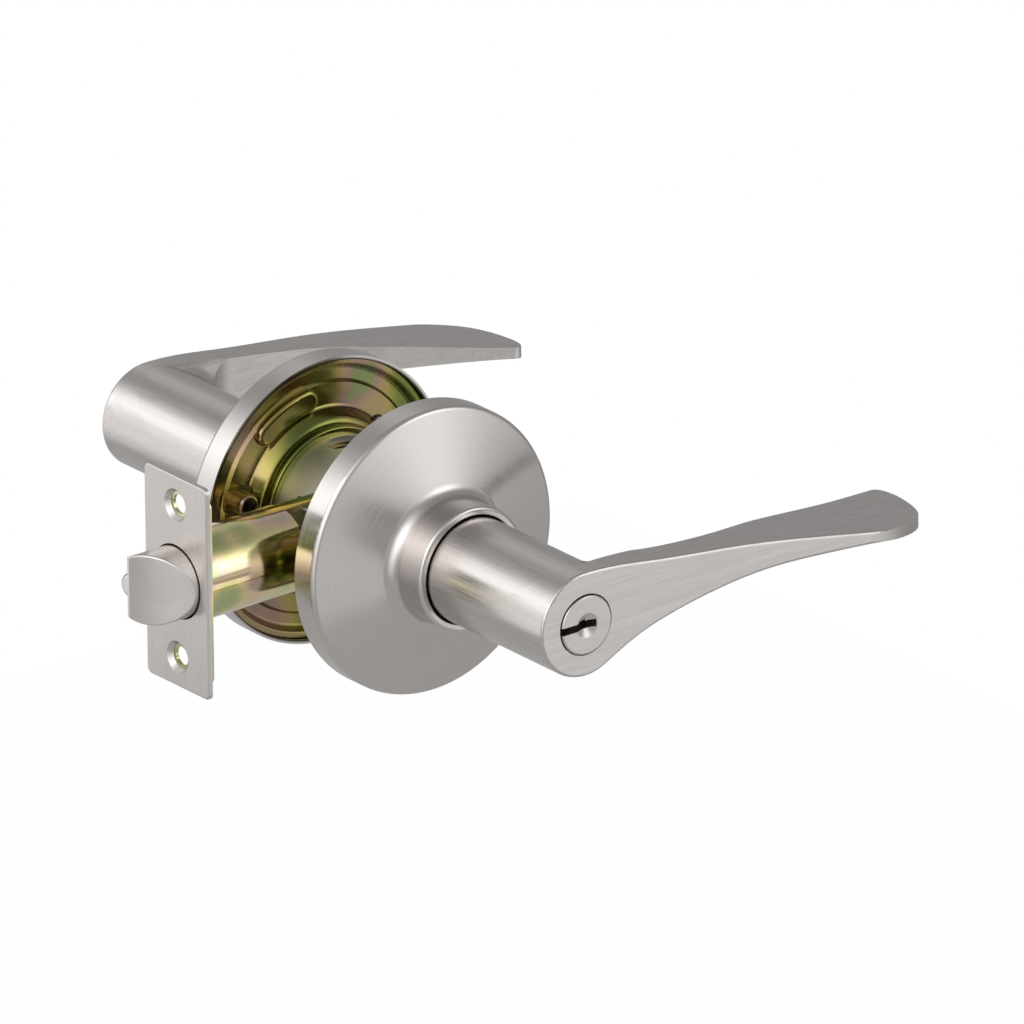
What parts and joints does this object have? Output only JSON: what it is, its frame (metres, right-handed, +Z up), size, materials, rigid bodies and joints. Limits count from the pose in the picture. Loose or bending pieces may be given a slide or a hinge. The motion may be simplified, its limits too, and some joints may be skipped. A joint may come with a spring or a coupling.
{
  "type": "tubular lever lock",
  "caption": "Keyed lever lock for a bored door: satin levers with roses, a chassis that clamps the door, and a spring latch with a dead-latch plunger",
  "frame": {"origin": "where the spindle axis crosses the latch axis, at the middle of the door's thickness", "axes": "+Y along the spindle towards the inside, the key side faces -Y; +Z up; the latch bolt points to -X and both lever blades to +X"},
  "size_m": [0.1905, 0.1897, 0.0762],
  "materials": {
    "satin_nickel": "satin nickel plate, brushed in one direction",
    "stainless": "satin stainless",
    "yellow_zinc": "yellow passivated zinc plate with a faint rainbow sheen",
    "silver_zinc": "bright zinc plate",
    "spring_wire": "plain spring steel",
    "brass": "turned brass",
    "plug_nickel": "satin nickel plate on brass"
  },
  "bodies": {
    "chassis": {"outside_rose": "satin_nickel", "inside_rose": "satin_nickel", "outside_mounting_plate": "yellow_zinc", "inside_mounting_plate": "yellow_zinc", "plate_stud": "yellow_zinc", "outside_hub": "yellow_zinc", "inside_hub": "yellow_zinc", "outside_lock_nut": "yellow_zinc", "chassis_shell": "silver_zinc", "clamp_posts": "yellow_zinc", "clamp_screws": "silver_zinc", "outside_return_spring": "spring_wire", "inside_return_spring": "spring_wire", "retractor_springs": "spring_wire", "face_plate": "stainless", "back_plate": "yellow_zinc", "latch_tube": "yellow_zinc", "tube_guide": "silver_zinc", "bolt_spring": "spring_wire", "plunger_spring": "spring_wire"},
    "outside_handle": {"outside_lever": "satin_nickel", "outside_spindle": "silver_zinc", "outside_cam": "silver_zinc", "outside_drive_plate": "yellow_zinc", "cylinder_body": "brass", "pin_cover": "silver_zinc", "driver_pins": "brass", "pin_springs": "spring_wire", "outside_catch_spring": "spring_wire"},
    "inside_handle": {"inside_lever": "satin_nickel", "inside_spindle": "silver_zinc", "inside_cam": "silver_zinc", "inside_drive_plate": "yellow_zinc", "inside_catch_spring": "spring_wire"},
    "key_plug": {"key_plug": "plug_nickel", "key_pins": "brass", "plug_clip": "silver_zinc", "tailpiece": "silver_zinc"},
    "turn_button": {"turn_button": "stainless", "button_shaft": "silver_zinc"},
    "retractor": {"retractor": "silver_zinc"},
    "latch_bolt": {"latch_bolt": "stainless", "bolt_tail": "silver_zinc"},
    "plunger": {"deadlatch_plunger": "stainless"},
    "outside_catch": {"outside_catch": "silver_zinc"},
    "inside_catch": {"inside_catch": "silver_zinc"}
  },
  "joints": [
    {"name": "outside_lever_turn", "type": "hinge", "parent": "chassis", "child": "outside_handle", "pos_m": [0, 0, 0], "axis": [0, 1, 0], "range_deg": [0, 54], "stiffness_Nm_per_rad": 1, "springref_deg": -34.38, "deforming": ["outside_return_spring"]},
    {"name": "inside_lever_turn", "type": "hinge", "parent": "chassis", "child": "inside_handle", "pos_m": [0, 0, 0], "axis": [0, 1, 0], "range_deg": [0, 54], "stiffness_Nm_per_rad": 1, "springref_deg": -34.38, "deforming": ["inside_return_spring"]},
    {"name": "retractor_slide", "type": "slide", "parent": "chassis", "child": "retractor", "axis": [1, 0, 0], "range_m": [0, 0.012], "stiffness_N_per_m": 200, "springref_m": -0.005, "deforming": ["retractor_springs"]},
    {"name": "bolt_slide", "type": "slide", "parent": "chassis", "child": "latch_bolt", "axis": [1, 0, 0], "range_m": [0, 0.012], "stiffness_N_per_m": 150, "springref_m": -0.01, "deforming": ["bolt_spring"]},
    {"name": "plunger_slide", "type": "slide", "parent": "chassis", "child": "plunger", "axis": [1, 0, 0], "range_m": [0, 0.011], "stiffness_N_per_m": 120, "springref_m": -0.006, "deforming": ["plunger_spring"]},
    {"name": "plug_turn", "type": "hinge", "parent": "outside_handle", "child": "key_plug", "pos_m": [0, 0, 0], "axis": [0, 1, 0], "range_deg": [0, 90]},
    {"name": "button_turn", "type": "hinge", "parent": "inside_handle", "child": "turn_button", "pos_m": [0, 0, 0], "axis": [0, 1, 0], "range_deg": [0, 90]},
    {"name": "outside_catch_press", "type": "slide", "parent": "outside_handle", "child": "outside_catch", "axis": [0, 0, 1], "range_m": [0, 0.0022], "stiffness_N_per_m": 800, "springref_m": -0.001, "deforming": ["outside_catch_spring"]},
    {"name": "inside_catch_press", "type": "slide", "parent": "inside_handle", "child": "inside_catch", "axis": [0, 0, 1], "range_m": [0, 0.0022], "stiffness_N_per_m": 800, "springref_m": -0.001, "deforming": ["inside_catch_spring"]}
  ],
  "couplings": [
    {"joint": "inside_lever_turn", "follows": "outside_lever_turn", "ratio": 1},
    {"joint": "retractor_slide", "follows": "outside_lever_turn", "m_per_rad": 0.012732},
    {"joint": "bolt_slide", "follows": "outside_lever_turn", "m_per_rad": 0.012732}
  ]
}
